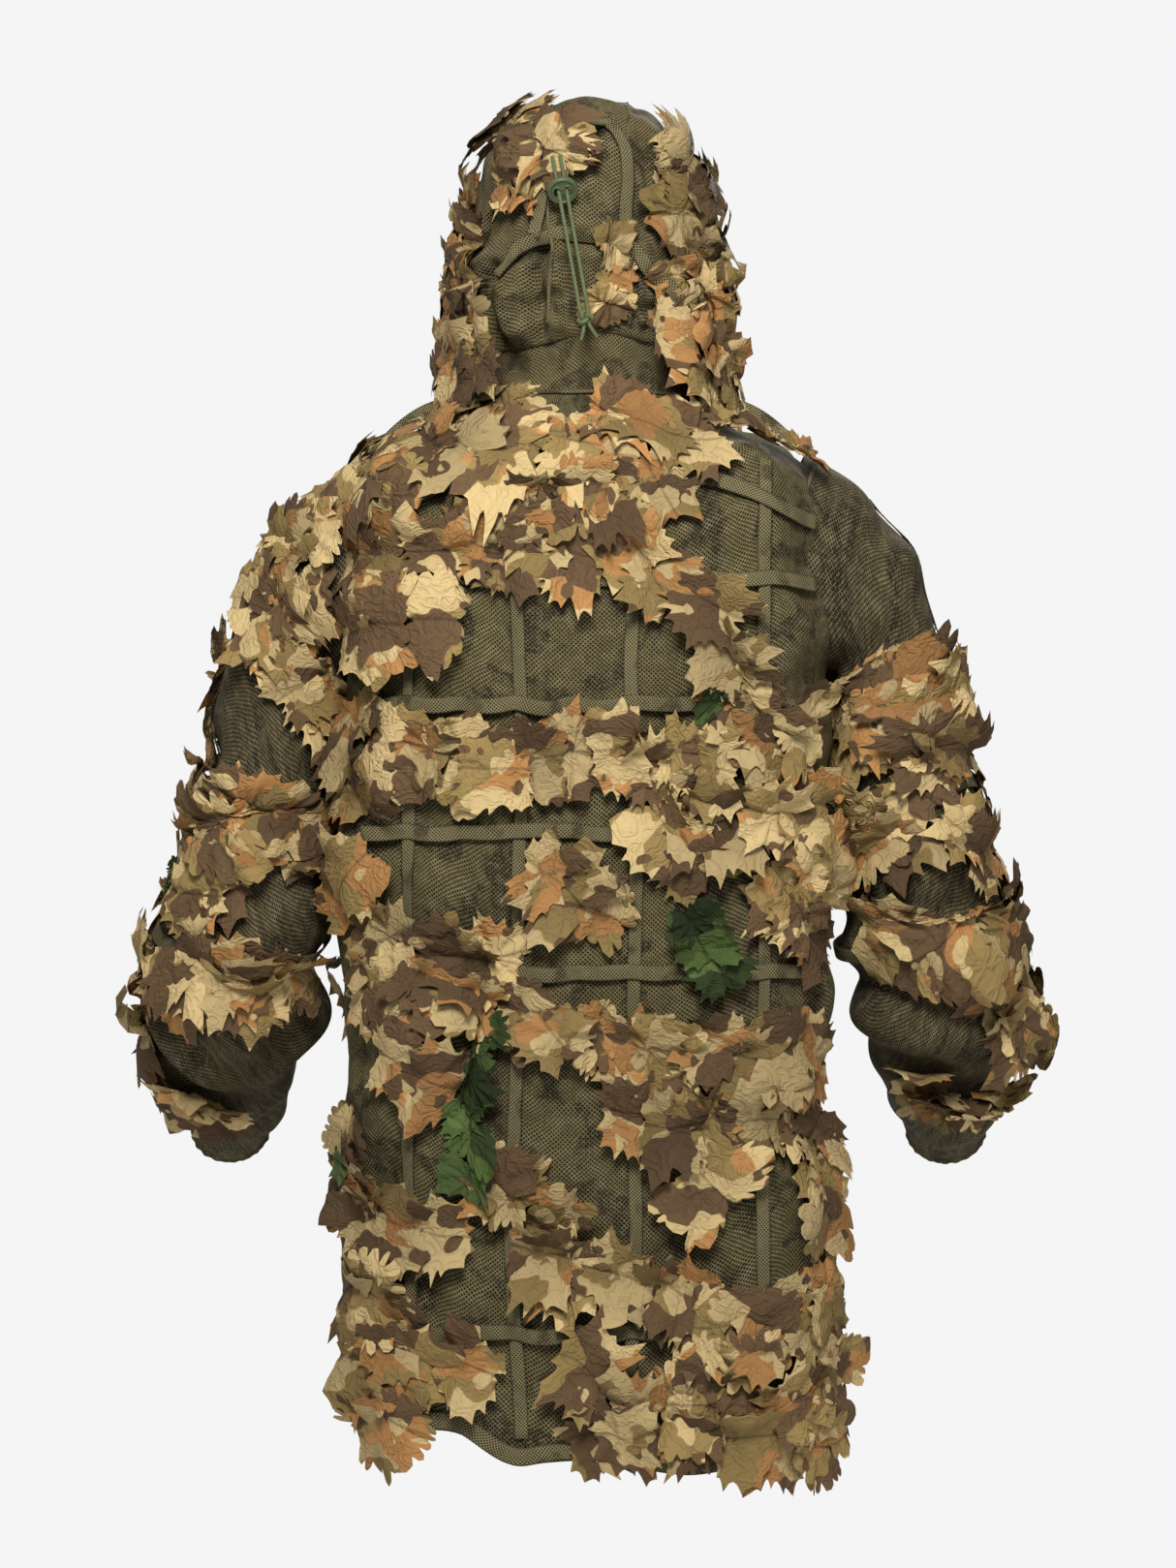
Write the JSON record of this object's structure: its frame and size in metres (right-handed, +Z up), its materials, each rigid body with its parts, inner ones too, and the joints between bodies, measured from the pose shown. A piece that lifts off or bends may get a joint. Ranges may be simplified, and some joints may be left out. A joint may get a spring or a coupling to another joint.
{
  "type": "ghillie suit",
  "caption": "Hooded net ghillie jacket with set-in sleeves, a grid of net tapes and strips of cut camouflage leaves; sleeves raise, hood tips back, cord toggle and zip slide.",
  "frame": {"origin": "middle of the neckline, where the jacket rests on the wearer", "axes": "+Z up, the wearer faces -Y, +X is the wearer's left"},
  "size_m": [0.787, 0.4021, 1.1396],
  "materials": {
    "net": "coarse open net, matt",
    "net_tape": "narrow woven net tape, matt",
    "leaf_cloth": "printed cut cloth, matt",
    "green_leaf": "green cut cloth, slight sheen",
    "elastic": "knitted elastic",
    "cord": "braided cord",
    "toggle_plastic": "moulded",
    "zip_tape": "woven zip tape",
    "zip_plastic": "moulded coil",
    "zip_metal": "matt painted"
  },
  "bodies": {
    "jacket": {"back_panel": "net", "front_panel_left": "net", "front_panel_right": "net", "collar_band": "net", "hem_binding": "net_tape", "back_length_tapes": "net_tape", "back_cross_tape_1": "net_tape", "back_cross_tape_2": "net_tape", "back_cross_tape_3": "net_tape", "back_cross_tape_4": "net_tape", "back_cross_tape_5": "net_tape", "front_tapes_left": "net_tape", "front_tapes_right": "net_tape", "shoulder_loop_left": "net_tape", "shoulder_loop_right": "net_tape", "hang_loop": "net_tape", "zip_tape_left": "zip_tape", "zip_tape_right": "zip_tape", "zip_coils": "zip_plastic", "zip_stops": "zip_plastic", "leaf_strip_back_1": "leaf_cloth", "leaf_strip_back_2": "leaf_cloth", "leaf_strip_back_3": "leaf_cloth", "leaf_strip_back_4": "leaf_cloth", "leaf_strip_back_5": "leaf_cloth", "leaf_strip_back_6": "leaf_cloth", "leaf_strip_back_7": "leaf_cloth", "leaf_strip_front_left_1": "leaf_cloth", "leaf_strip_front_left_2": "leaf_cloth", "leaf_strip_front_right_1": "leaf_cloth", "leaf_strip_front_right_2": "leaf_cloth", "green_leaf_strips": "green_leaf"},
    "sleeve_left": {"sleeve_left": "net", "cuff_left": "net", "cuff_elastic_left": "elastic", "sleeve_tapes_left": "net_tape", "leaf_strip_arm_left_1": "leaf_cloth", "leaf_strip_arm_left_2": "leaf_cloth", "leaf_strip_arm_left_3": "leaf_cloth"},
    "sleeve_right": {"sleeve_right": "net", "cuff_right": "net", "cuff_elastic_right": "elastic", "sleeve_tapes_right": "net_tape", "leaf_strip_arm_right_1": "leaf_cloth", "leaf_strip_arm_right_2": "leaf_cloth", "leaf_strip_arm_right_3": "leaf_cloth"},
    "hood": {"hood_centre_panel": "net", "hood_left_panel": "net", "hood_right_panel": "net", "hood_face_binding": "net_tape", "hood_tapes": "net_tape", "leaf_strip_hood_left": "leaf_cloth", "leaf_strip_hood_right": "leaf_cloth", "leaf_strip_hood_crown": "leaf_cloth", "cord_eyelet_plate": "toggle_plastic", "hood_cord": "cord", "cord_knot": "cord"},
    "cord_toggle": {"cord_toggle": "toggle_plastic"},
    "zip_slider": {"zip_slider": "zip_metal"},
    "zip_pull": {"zip_pull": "zip_metal"}
  },
  "joints": [
    {"name": "sleeve_left_raise", "type": "hinge", "parent": "jacket", "child": "sleeve_left", "pos_m": [0.202, 0, -0.064], "axis": [0, -1, 0], "range_deg": [0, 60]},
    {"name": "sleeve_right_raise", "type": "hinge", "parent": "jacket", "child": "sleeve_right", "pos_m": [-0.202, 0, -0.064], "axis": [0, 1, 0], "range_deg": [0, 60]},
    {"name": "hood_tip_back", "type": "hinge", "parent": "jacket", "child": "hood", "pos_m": [0, 0.1, 0.047], "axis": [-1, 0, 0], "range_deg": [0, 38]},
    {"name": "toggle_slide", "type": "slide", "parent": "hood", "child": "cord_toggle", "axis": [-0.1768, -0.0154, -0.9841], "range_m": [0, 0.07]},
    {"name": "zip_slide", "type": "slide", "parent": "jacket", "child": "zip_slider", "axis": [0, -0.0322, -0.9995], "range_m": [0, 0.78]},
    {"name": "zip_pull_swing", "type": "hinge", "parent": "zip_slider", "child": "zip_pull", "pos_m": [0, -0.11792, -0.03783], "axis": [-1, 0, 0], "range_deg": [0, 150]}
  ]
}
